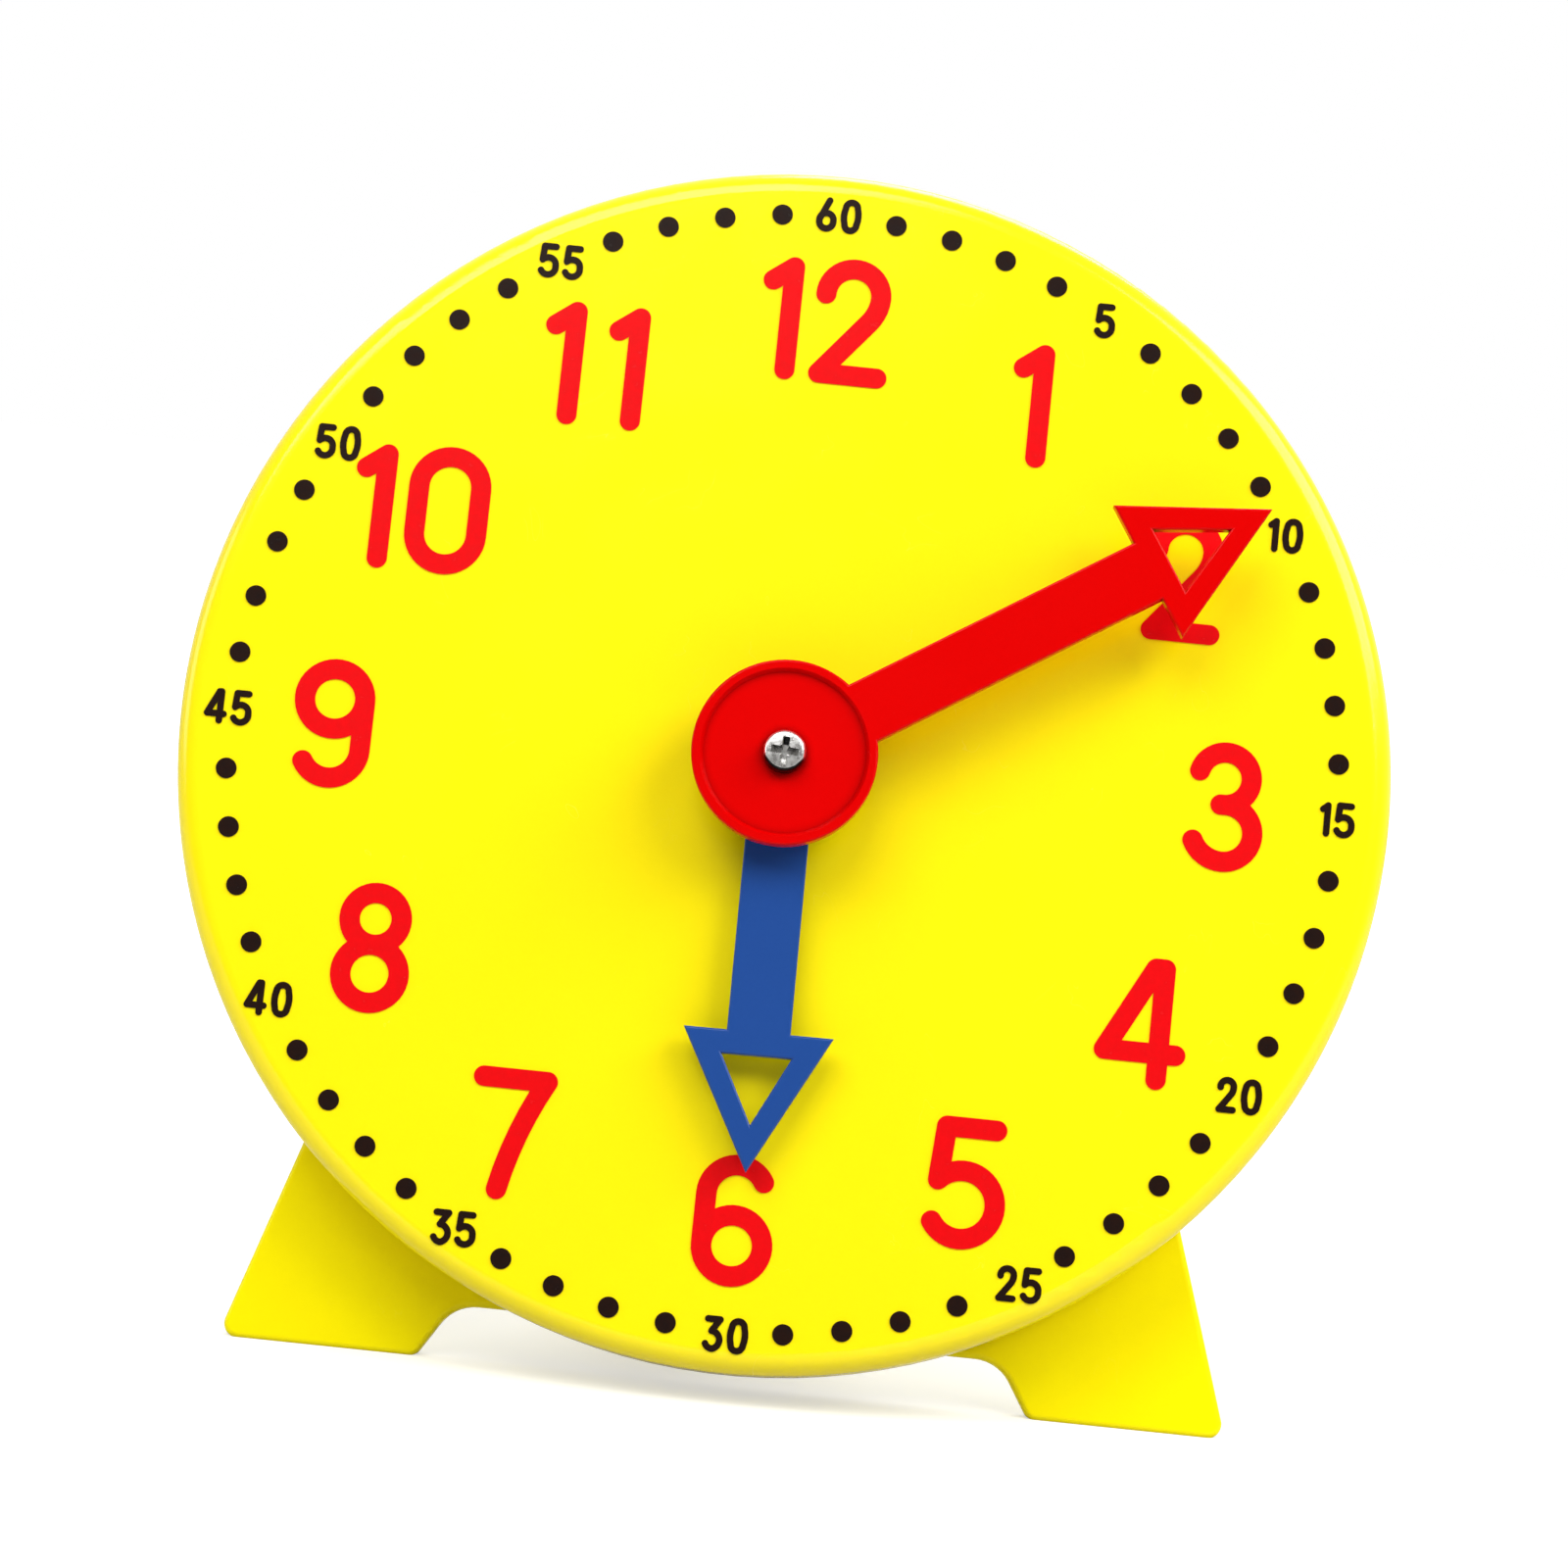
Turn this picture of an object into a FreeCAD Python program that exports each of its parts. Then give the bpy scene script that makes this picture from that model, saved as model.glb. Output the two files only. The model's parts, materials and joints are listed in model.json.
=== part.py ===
"""Geared teaching clock on two feet with a swing-out prop leg, in millimetres.

Every piece is first built in the dial's own frame: x to the right, y from the dial's front face
into the case, z up the dial, with the origin on the arbor's axis. The finished pieces are then
leaned back about x and moved, so that the soles lie on z = 0 under the middle of the clock.
"""
import FreeCAD
import Part
import math
import os

from FreeCAD import Vector

os.makedirs("parts", exist_ok=True)

# Casing
casing_radius = 50.0
casing_depth = 10.0
casing_wall = 2.0
rim_rounding = 1.8
back_edge_rounding = 0.4
dial_thickness = 1.8
cover_thickness = 1.8
cover_gap = 0.1

# Fits shared by all pieces
running_clearance = 0.05
close_clearance = 0.02
axial_play = 0.3
washer_play = 0.05
overrun = 1.0
match_tolerance = 0.001

# Screws that close the case and hold the stand plate
screw_shank_radius = 1.1
screw_length = 6.5
screw_head_radius = 2.0
screw_head_height = 1.3
screw_hole_clearance = 0.1
recess_arm_width = 0.55
recess_reach_share = 0.62
recess_floor_share = 0.4
head_rounding_share = 0.55
shank_point_share = 0.45
boss_radius = 2.8
case_boss_inset = 8.5
case_boss_angle_deg = 45.0
stand_boss_offset = 13.0
stand_boss_drop = 6.0
stand_boss_length = 3.2
stand_screw_edge = 5.5

# Gear train
gear_module = 0.6
pressure_angle_deg = 25.0
backlash = 0.1
addendum_share = 0.95
dedendum_share = 1.25
minute_pinion_teeth = 15
intermediate_wheel_teeth = 45
intermediate_pinion_teeth = 12
hour_wheel_teeth = 48
wheel_thickness = 1.6
wheel_web_gap = 0.6
hub_land = 0.4
bearing_collar_length = 0.8
bearing_collar_radius = 6.0
axle_radius = 1.0
axle_boss_radius = 3.0
axle_end_wall = 0.8
axle_end_play = 0.1

# Arbors and washers
arbor_radius = 2.0
arbor_flat_depth = 0.4
journal_radius = 1.5
journal_end_gap = 0.4
hour_tube_radius = 3.5
washer_thickness = 0.4
washer_rim = 2.2
washer_clearance = 0.1

# Hands
hand_thickness = 1.3
hand_width = 5.18
hand_edge_rounding = 0.2
arrow_length = 11.4
arrow_half_width = 6.1
arrow_hole_inset = 1.95
arrow_hole_length = 5.6
arrow_hole_half_width = 2.85
minute_hand_inset = 5.55
minute_hub_radius = 7.58
minute_hub_height = 3.0
minute_hub_thickness = 1.6
minute_hub_rim = 0.7
minute_hub_recess = 0.5
minute_hub_slope = 0.3
minute_boss_radius = 5.2
hour_hand_inset = 16.1
hour_hub_radius = 6.5
hour_hub_height = 2.5
minute_hand_angle_deg = 57.4
hour_hand_angle_deg = 179.45

# Screw in the middle of the minute hand
hand_screw_head_radius = 1.72
hand_screw_head_height = 1.4
hand_screw_shank_radius = 1.0
hand_screw_length = 6.0
hand_screw_seat = 0.5
hand_screw_turn_deg = 4.0

# Printed marks on the dial
print_thickness = 0.1
print_stretch_share = 1.017
print_shift_right = -0.12
print_shift_up = -0.29
dot_radius = 0.855
minute_ring_inset = 4.36
minute_digit_height = 2.4
minute_stroke = 0.54
minute_digit_gap = 0.3
minute_squeeze_share = 0.88
hour_ring_inset = 13.2
hour_digit_height = 9.04
hour_stroke = 1.67
hour_digit_gap = 1.15
hour_ones_gap = 1.95

# Stand plate with its two feet
plate_thickness = 2.0
plate_edge_rounding = 0.5
plate_top = 28.0
plate_top_rounding = 8.0
plate_top_half_width = 17.0
foot_outer_half_width = 41.95
foot_inner_half_width = 25.5
foot_corner_rounding = 1.2
arch_side_run = 2.85
arch_rounding = 3.5
arch_height = 4.55
casing_lift = 1.05

# Prop leg and its hinge
lean_deg = 12.0
prop_splay_deg = 10.0
hinge_drop = 13.0
hinge_offset = 3.4
hinge_pin_radius = 1.0
knuckle_radius = 2.6
knuckle_half_width = 7.0
ear_radius = 3.0
ear_thickness = 2.5
ear_gap = 0.2
prop_thickness = 2.4
prop_edge_rounding = 0.4
prop_foot_half_width = 12.0
prop_heel = 7.4
stop_gap = 0.05

# Sizes that follow from the casing and the stand plate
sole_drop = casing_radius + casing_lift
case_boss_circle_radius = casing_radius - case_boss_inset
minute_ring_radius = casing_radius - minute_ring_inset
hour_ring_radius = casing_radius - hour_ring_inset
minute_hand_length = casing_radius - minute_hand_inset
hour_hand_length = casing_radius - hour_hand_inset
plate_side_share = (foot_outer_half_width - plate_top_half_width) / (sole_drop + plate_top)
arch_half_width = foot_inner_half_width - arch_side_run
stand_boss_height = plate_top - stand_boss_drop
hinge_height = plate_top - hinge_drop
hinge_half_length = knuckle_half_width + ear_gap + ear_thickness
hand_screw_hole_radius = hand_screw_shank_radius + close_clearance

# Places along the depth of the clock
case_back = casing_depth
cover_front = casing_depth - cover_thickness
plate_back = case_back + plate_thickness
collar_back = dial_thickness + bearing_collar_length
hour_wheel_front = collar_back + axial_play
hour_wheel_back = hour_wheel_front + wheel_thickness
minute_layer_front = hour_wheel_back + wheel_web_gap
minute_layer_back = minute_layer_front + wheel_thickness
back_washer_front = minute_layer_back + washer_play
back_washer_back = back_washer_front + washer_thickness
cover_collar_front = back_washer_back + washer_play
axle_boss_front = minute_layer_back + axial_play
axle_front = axle_end_wall + axle_end_play
axle_back = case_back - axle_end_wall - axle_end_play
dial_washer_front = -(washer_play + washer_thickness)
hour_hub_back = dial_washer_front - washer_play
hour_hub_front = hour_hub_back - hour_hub_height
hand_washer_back = hour_hub_front - washer_play
hand_washer_front = hand_washer_back - washer_thickness
minute_hub_back = hand_washer_front - washer_play
minute_hub_front = minute_hub_back - minute_hub_height
recess_floor = minute_hub_front + minute_hub_recess
arbor_front = recess_floor + hand_screw_seat
gear_centre_distance = gear_module * (minute_pinion_teeth + intermediate_wheel_teeth) / 2
hinge_y = plate_back + hinge_offset
prop_opening_deg = lean_deg + prop_splay_deg

ORIGIN = Vector(0, 0, 0)
X_AXIS = Vector(1, 0, 0)
Y_AXIS = Vector(0, 1, 0)


def disc(radius, front, back, x=0, z=0):
    """A cylinder along the dial's normal, from depth front to depth back."""
    return Part.makeCylinder(radius, back - front, Vector(x, front, z), Y_AXIS)


def dish(mouth_radius, floor_radius, front, floor):
    """A round dish to cut from a face: it narrows from the face at depth front to its floor."""
    run_out = (mouth_radius - floor_radius) * overrun / (floor - front)
    mouth = Vector(0, front - overrun, 0)
    return Part.makeCone(mouth_radius + run_out, floor_radius, floor - front + overrun, mouth, Y_AXIS)


def slab(low, high):
    """A box between two opposite corners."""
    size = high - low
    return Part.makeBox(size.x, size.y, size.z, low)


def extrude_edges(edges, front, back):
    """A plate whose outline is a closed loop of edges drawn at depth front."""
    face = Part.Face(Part.Wire(Part.__sortEdges__(edges)))
    return face.extrude(Vector(0, back - front, 0))


def polygon_plate(corners, front, back):
    """A plate with straight sides; corners are pairs of x and z."""
    points = [Vector(x, front, z) for x, z in corners]
    return Part.Face(Part.makePolygon(points + points[:1])).extrude(Vector(0, back - front, 0))


def fuse_all(shapes):
    """All the shapes in one clean solid."""
    return shapes[0].multiFuse(shapes[1:]).removeSplitter()


def upright_edges(shape, x, z):
    """The straight edges along the dial's normal that stand at x and z."""
    found = []
    for edge in shape.Edges:
        first = edge.Vertexes[0].Point
        last = edge.Vertexes[-1].Point
        on_place = math.hypot(first.x - x, first.z - z) < match_tolerance
        straight = math.hypot(last.x - first.x, last.z - first.z) < match_tolerance
        if on_place and straight and len(edge.Vertexes) == 2:
            found.append(edge)
    return found


def round_corners(shape, corners, radius):
    """The plate with the named corners of its outline rounded."""
    edges = []
    for x, z in corners:
        edges += upright_edges(shape, x, z)
    return shape.makeFillet(radius, edges)


def ring_edges(shape, radius, depth):
    """The circular edges of one radius about the arbor's axis at one depth."""
    found = []
    for edge in shape.Edges:
        curve = edge.Curve
        if not isinstance(curve, Part.Circle):
            continue
        same_radius = abs(curve.Radius - radius) < match_tolerance
        same_depth = abs(curve.Center.y - depth) < match_tolerance
        centred = math.hypot(curve.Center.x, curve.Center.z) < match_tolerance
        if same_radius and same_depth and centred:
            found.append(edge)
    return found


def edges_at_depth(shape, depth):
    """All the edges that lie flat at one depth."""
    found = []
    for edge in shape.Edges:
        box = edge.optimalBoundingBox(False, False)
        if abs(box.YMin - depth) < match_tolerance and abs(box.YMax - depth) < match_tolerance:
            found.append(edge)
    return found


def flatted_rod(radius, front, back, clearance=0):
    """A round rod with one flat along it, or the hole that such a rod fits."""
    rod = disc(radius + clearance, front, back)
    flat = radius - arbor_flat_depth + clearance
    low = Vector(-2 * radius, front - overrun, flat)
    high = Vector(2 * radius, back + overrun, 2 * radius)
    return rod.cut(slab(low, high))


def pan_screw(head_radius, head_height, shank_radius, length):
    """A cross-recessed screw with its seat at y = 0 and its shank along +y."""
    head = disc(head_radius, -head_height, 0)
    head = head.makeFillet(head_height * head_rounding_share, ring_edges(head, head_radius, -head_height))
    shank = disc(shank_radius, 0, length)
    tip = ring_edges(shank, shank_radius, length)
    shank = shank.makeChamfer(shank_radius * shank_point_share, tip)
    reach = head_radius * recess_reach_share
    floor = -head_height * recess_floor_share
    half = recess_arm_width / 2
    arm = slab(Vector(-reach, -head_height - overrun, -half), Vector(reach, floor, half))
    crossed = arm.copy()
    crossed.rotate(ORIGIN, Y_AXIS, 90)
    return head.fuse(shank).removeSplitter().cut(arm).cut(crossed)


def involute(angle):
    """The involute function of an angle in radians."""
    return math.tan(angle) - angle


def gear(teeth, front, back, z=0, first_tooth_deg=0):
    """A spur gear about the dial's normal, with one tooth at the angle first_tooth_deg."""
    pressure_angle = math.radians(pressure_angle_deg)
    pitch_radius = gear_module * teeth / 2
    base_radius = pitch_radius * math.cos(pressure_angle)
    tip_radius = pitch_radius + addendum_share * gear_module
    root_radius = pitch_radius - dedendum_share * gear_module
    flank_radius = max(base_radius, root_radius)
    tooth_width = math.pi * gear_module / 2 - backlash

    def half_angle(radius):
        roll = math.acos(min(base_radius / radius, 1))
        return tooth_width / (2 * pitch_radius) + involute(pressure_angle) - involute(roll)

    def point(radius, angle):
        return Vector(radius * math.cos(angle), front, z + radius * math.sin(angle))

    step = 2 * math.pi / teeth
    low = half_angle(flank_radius)
    middle = (flank_radius + tip_radius) / 2
    edges = []
    for index in range(teeth):
        tooth = math.radians(first_tooth_deg) + index * step
        for side in (-1, 1):
            flank = [point(r, tooth + side * half_angle(r)) for r in (flank_radius, middle, tip_radius)]
            edges.append(Part.Arc(*flank).toShape())
            if root_radius < flank_radius:
                foot = point(root_radius, tooth + side * low)
                edges.append(Part.LineSegment(foot, flank[0]).toShape())
        top = half_angle(tip_radius)
        tip = [point(tip_radius, tooth + share * top) for share in (-1, 0, 1)]
        edges.append(Part.Arc(*tip).toShape())
        valley = [tooth + low, tooth + step / 2, tooth + step - low]
        edges.append(Part.Arc(*[point(root_radius, angle) for angle in valley]).toShape())
    return extrude_edges(edges, front, back)


def make_dial_casing():
    """The dial and its skirt in one moulding, with bosses behind the dial."""
    body = disc(casing_radius, 0, casing_depth)
    body = body.makeFillet(rim_rounding, ring_edges(body, casing_radius, 0))
    body = body.makeFillet(back_edge_rounding, ring_edges(body, casing_radius, casing_depth))
    body = body.cut(disc(casing_radius - casing_wall, dial_thickness, casing_depth + overrun))
    raised = [body, disc(bearing_collar_radius, dial_thickness / 2, collar_back)]
    raised.append(disc(axle_boss_radius, dial_thickness / 2, collar_back, 0, -gear_centre_distance))
    for x, z in case_boss_places():
        raised.append(disc(boss_radius, dial_thickness / 2, cover_front, x, z))
    body = fuse_all(raised)
    body = body.cut(disc(hour_tube_radius + running_clearance, -overrun, collar_back + overrun))
    axle_hole_radius = axle_radius + close_clearance
    body = body.cut(disc(axle_hole_radius, axle_end_wall, collar_back + overrun, 0, -gear_centre_distance))
    screw_hole_radius = screw_shank_radius + close_clearance
    for x, z in case_boss_places():
        body = body.cut(disc(screw_hole_radius, dial_thickness, cover_front + overrun, x, z))
    return body


def case_boss_places():
    """Where the four bosses of the casing stand, as pairs of x and z."""
    angle = math.radians(case_boss_angle_deg)
    upper_x = case_boss_circle_radius * math.cos(angle)
    upper_z = case_boss_circle_radius * math.sin(angle)
    lower_x, lower_z = lower_boss_place()
    return [(upper_x, upper_z), (-upper_x, upper_z), (-lower_x, lower_z), (lower_x, lower_z)]


def lower_boss_place():
    """Where the circle of bosses meets a line set in from the stand plate's sloping side."""
    slant = math.hypot(1, plate_side_share)
    line_x = foot_outer_half_width - plate_side_share * sole_drop - stand_screw_edge * slant
    reach = math.sqrt((slant * case_boss_circle_radius) ** 2 - line_x**2)
    z = (plate_side_share * line_x - reach) / slant**2
    return line_x - plate_side_share * z, z


def stand_boss_places():
    """Where the stand plate's two upper screws go."""
    return [(-stand_boss_offset, stand_boss_height), (stand_boss_offset, stand_boss_height)]


def make_back_cover():
    """The disc that closes the case, let into the skirt and flush with its back edge."""
    cover_radius = casing_radius - casing_wall - cover_gap
    raised = [disc(cover_radius, cover_front, case_back)]
    raised.append(disc(bearing_collar_radius, cover_collar_front, case_back))
    raised.append(disc(axle_boss_radius, axle_boss_front, case_back, 0, -gear_centre_distance))
    for x, z in stand_boss_places():
        raised.append(disc(boss_radius, cover_front - stand_boss_length, case_back, x, z))
    cover = fuse_all(raised)
    journal_hole_radius = journal_radius + running_clearance
    cover = cover.cut(disc(journal_hole_radius, cover_collar_front - overrun, case_back + overrun))
    axle_hole_radius = axle_radius + close_clearance
    axle_end = case_back - axle_end_wall
    axle_hole = disc(axle_hole_radius, axle_boss_front - overrun, axle_end, 0, -gear_centre_distance)
    cover = cover.cut(axle_hole)
    for x, z in case_boss_places():
        cover = cover.cut(disc(screw_shank_radius + screw_hole_clearance, 0, case_back + overrun, x, z))
    for x, z in stand_boss_places():
        cover = cover.cut(disc(screw_shank_radius + close_clearance, 0, case_back + overrun, x, z))
    return cover


def floor_block():
    """A block whose top is the floor, in the dial's frame."""
    side = 4 * casing_radius
    block = slab(Vector(-side, -side, -side), Vector(side, side, 0))
    block.rotate(ORIGIN, X_AXIS, lean_deg)
    block.translate(Vector(0, case_back, -sole_drop))
    return block


def stand_plate_outline():
    """The corners of the stand plate, from the left foot round to the right one."""
    arch_top = arch_height - sole_drop
    right = [
        (plate_top_half_width, plate_top),
        (foot_outer_half_width, -sole_drop),
        (foot_inner_half_width, -sole_drop),
        (arch_half_width, arch_top),
    ]
    left = [(-x, z) for x, z in reversed(right)]
    return right + left


def make_stand_plate():
    """The tapered plate behind the case, with two feet and the hinge's ears."""
    corners = stand_plate_outline()
    plate = polygon_plate(corners, case_back, plate_back)
    plate = round_corners(plate, [corners[0], corners[-1]], plate_top_rounding)
    feet = [corners[1], corners[2], corners[5], corners[6]]
    plate = round_corners(plate, feet, foot_corner_rounding)
    plate = round_corners(plate, [corners[3], corners[4]], arch_rounding)
    rims = edges_at_depth(plate, case_back) + edges_at_depth(plate, plate_back)
    plate = plate.makeFillet(plate_edge_rounding, rims)
    plate = plate.cut(floor_block())
    pieces = [plate]
    for side in (-1, 1):
        inner = side * (knuckle_half_width + ear_gap)
        outer = inner + side * ear_thickness
        start = min(inner, outer)
        ear = Part.makeCylinder(ear_radius, ear_thickness, Vector(start, hinge_y, hinge_height), X_AXIS)
        low = Vector(start, plate_back - plate_thickness / 2, hinge_height - ear_radius)
        high = Vector(start + ear_thickness, hinge_y, hinge_height + ear_radius)
        pieces += [ear, slab(low, high)]
    plate = fuse_all(pieces)
    plate = plate.cut(hinge_rod(hinge_pin_radius + close_clearance, hinge_half_length + overrun))
    for x, z in stand_screw_places():
        plate = plate.cut(disc(screw_shank_radius + screw_hole_clearance, 0, plate_back + overrun, x, z))
    return plate


def hinge_rod(radius, half_length):
    """A rod on the hinge's axis, centred across the clock."""
    start = Vector(-half_length, hinge_y, hinge_height)
    return Part.makeCylinder(radius, 2 * half_length, start, X_AXIS)


def stand_screw_places():
    """The screws whose heads lie on the stand plate: two upper ones and the two lower bosses."""
    return stand_boss_places() + [place for place in case_boss_places() if place[1] < 0]


def cover_screw_places():
    """The screws whose heads lie on the back cover."""
    return [place for place in case_boss_places() if place[1] > 0]


def make_case_screws():
    """Six identical screws, driven from the back."""
    screw = pan_screw(screw_head_radius, screw_head_height, screw_shank_radius, screw_length)
    screw.rotate(ORIGIN, Vector(0, 0, 1), 180)
    screws = []
    for seat, places in ((case_back, cover_screw_places()), (plate_back, stand_screw_places())):
        for x, z in places:
            placed = screw.copy()
            placed.translate(Vector(x, seat, z))
            screws.append(placed)
    return Part.makeCompound(screws)


def prop_length():
    """From the hinge's axis to the prop's sole, along the leg."""
    lean = math.radians(lean_deg)
    drop_along = (hinge_height + sole_drop) * math.cos(lean)
    drop_across = (hinge_y - case_back) * math.sin(lean)
    return (drop_along - drop_across) / math.cos(math.radians(prop_splay_deg))


def open_prop(shape):
    """The folded prop's shape swung open about the hinge."""
    opened = shape.copy()
    opened.rotate(Vector(0, hinge_y, hinge_height), X_AXIS, prop_opening_deg)
    return opened


def make_prop_leg():
    """The tapered leg with its knuckle and a heel that stops against the stand plate."""
    front = hinge_y - prop_thickness / 2
    back = hinge_y + prop_thickness / 2
    foot_z = hinge_height - prop_length() - prop_thickness
    heel_z = hinge_height + prop_heel
    corners = [
        (-knuckle_half_width, heel_z),
        (knuckle_half_width, heel_z),
        (knuckle_half_width, hinge_height - knuckle_radius),
        (prop_foot_half_width, foot_z),
        (-prop_foot_half_width, foot_z),
        (-knuckle_half_width, hinge_height - knuckle_radius),
    ]
    leg = polygon_plate(corners, front, back)
    rims = edges_at_depth(leg, front) + edges_at_depth(leg, back)
    leg = leg.makeFillet(prop_edge_rounding, rims)
    knuckle = hinge_rod(knuckle_radius, knuckle_half_width)
    leg = open_prop(fuse_all([leg, knuckle]))
    leg = leg.cut(floor_block())
    plate_side = slab(
        Vector(-2 * knuckle_half_width, 0, 0),
        Vector(2 * knuckle_half_width, plate_back + stop_gap, hinge_height + 2 * prop_heel),
    )
    pin_hole = hinge_rod(hinge_pin_radius + running_clearance, knuckle_half_width + overrun)
    return leg.cut(plate_side).cut(pin_hole)


def make_hinge_pin():
    """The steel pin through the ears and the knuckle."""
    return hinge_rod(hinge_pin_radius, hinge_half_length)


def make_wheel_axle():
    """The steel pin that carries the intermediate gear between the dial and the cover."""
    return disc(axle_radius, axle_front, axle_back, 0, -gear_centre_distance)


def make_minute_arbor():
    """The minute pinion with its shaft forward to the hand and its journal in the cover."""
    pinion = gear(minute_pinion_teeth, minute_layer_front, minute_layer_back, 0, -90)
    shaft = disc(arbor_radius, minute_hub_back + washer_play, minute_layer_front + overrun)
    nose = flatted_rod(arbor_radius, arbor_front, minute_hub_back + washer_play)
    nose.rotate(ORIGIN, Y_AXIS, minute_hand_angle_deg)
    journal = disc(journal_radius, minute_layer_back - overrun, case_back - journal_end_gap)
    arbor = fuse_all([pinion, shaft, nose, journal])
    bore_end = recess_floor + hand_screw_length + axle_end_play
    return arbor.cut(disc(hand_screw_hole_radius, arbor_front - overrun, bore_end))


def make_hour_wheel():
    """The hour wheel with its tube through the dial."""
    wheel = gear(hour_wheel_teeth, hour_wheel_front, hour_wheel_back, 0, -90)
    hub = disc(hour_tube_radius, hour_wheel_front, hour_wheel_back + hub_land)
    tube = disc(hour_tube_radius, hour_hub_back, hour_wheel_front + overrun)
    nose = flatted_rod(hour_tube_radius, hour_hub_front, hour_hub_back)
    nose.rotate(ORIGIN, Y_AXIS, hour_hand_angle_deg)
    body = fuse_all([wheel, hub, tube, nose])
    bore_radius = arbor_radius + running_clearance
    return body.cut(disc(bore_radius, hour_hub_front - overrun, hour_wheel_back + overrun))


def make_intermediate_gear():
    """The wheel driven by the minute pinion and the pinion that drives the hour wheel."""
    centre = -gear_centre_distance
    wheel_turn = 90 + 180 / intermediate_wheel_teeth
    pinion_turn = 90 + 180 / intermediate_pinion_teeth
    wheel = gear(intermediate_wheel_teeth, minute_layer_front, minute_layer_back, centre, wheel_turn)
    pinion = gear(intermediate_pinion_teeth, hour_wheel_front, minute_layer_front, centre, pinion_turn)
    body = fuse_all([wheel, pinion])
    bore = disc(axle_radius + running_clearance, 0, case_back, 0, centre)
    return body.cut(bore)


def ring_washer(front, bore_radius):
    """A flat washer about the arbor's axis."""
    washer = disc(bore_radius + washer_rim, front, front + washer_thickness)
    return washer.cut(disc(bore_radius, front - overrun, front + washer_thickness + overrun))


def hand_blade(length, back):
    """The flat arm and its holed arrow, pointing up the dial."""
    front = back - hand_thickness
    arrow_base = length - arrow_length
    half = hand_width / 2
    outline = [
        (-half, 0),
        (-half, arrow_base),
        (-arrow_half_width, arrow_base),
        (0, length),
        (arrow_half_width, arrow_base),
        (half, arrow_base),
        (half, 0),
    ]
    hole_base = arrow_base + arrow_hole_inset
    hole = [
        (-arrow_hole_half_width, hole_base),
        (0, hole_base + arrow_hole_length),
        (arrow_hole_half_width, hole_base),
    ]
    blade = polygon_plate(outline, front, back)
    return blade.cut(polygon_plate(hole, front - overrun, back + overrun))


def make_minute_hand():
    """The red hand with its dished hub."""
    blade = hand_blade(minute_hand_length, minute_hub_front + hand_thickness)
    hub = disc(minute_hub_radius, minute_hub_front, minute_hub_front + minute_hub_thickness)
    boss = disc(minute_boss_radius, minute_hub_front, minute_hub_back)
    hand = fuse_all([blade, hub, boss])
    hand = hand.makeFillet(hand_edge_rounding, edges_at_depth(hand, minute_hub_front))
    mouth_radius = minute_hub_radius - minute_hub_rim
    hand = hand.cut(dish(mouth_radius, mouth_radius - minute_hub_slope, minute_hub_front, recess_floor))
    hand = hand.cut(flatted_rod(arbor_radius, arbor_front, minute_hub_back + overrun, close_clearance))
    hand = hand.cut(disc(hand_screw_hole_radius, minute_hub_front - overrun, arbor_front + overrun))
    hand.rotate(ORIGIN, Y_AXIS, minute_hand_angle_deg)
    return hand


def make_hour_hand():
    """The blue hand on the hour wheel's tube."""
    blade = hand_blade(hour_hand_length, hour_hub_front + hand_thickness)
    hub = disc(hour_hub_radius, hour_hub_front, hour_hub_back)
    hand = fuse_all([blade, hub])
    hand = hand.makeFillet(hand_edge_rounding, edges_at_depth(hand, hour_hub_front))
    hole_front = hour_hub_front - overrun
    hole_back = hour_hub_back + overrun
    hand = hand.cut(flatted_rod(hour_tube_radius, hole_front, hole_back, close_clearance))
    hand.rotate(ORIGIN, Y_AXIS, hour_hand_angle_deg)
    return hand


def make_hand_screw():
    """The bright screw in the hub's recess."""
    screw = pan_screw(
        hand_screw_head_radius, hand_screw_head_height, hand_screw_shank_radius, hand_screw_length
    )
    screw.rotate(ORIGIN, Y_AXIS, hand_screw_turn_deg)
    screw.translate(Vector(0, recess_floor, 0))
    return screw


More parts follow.
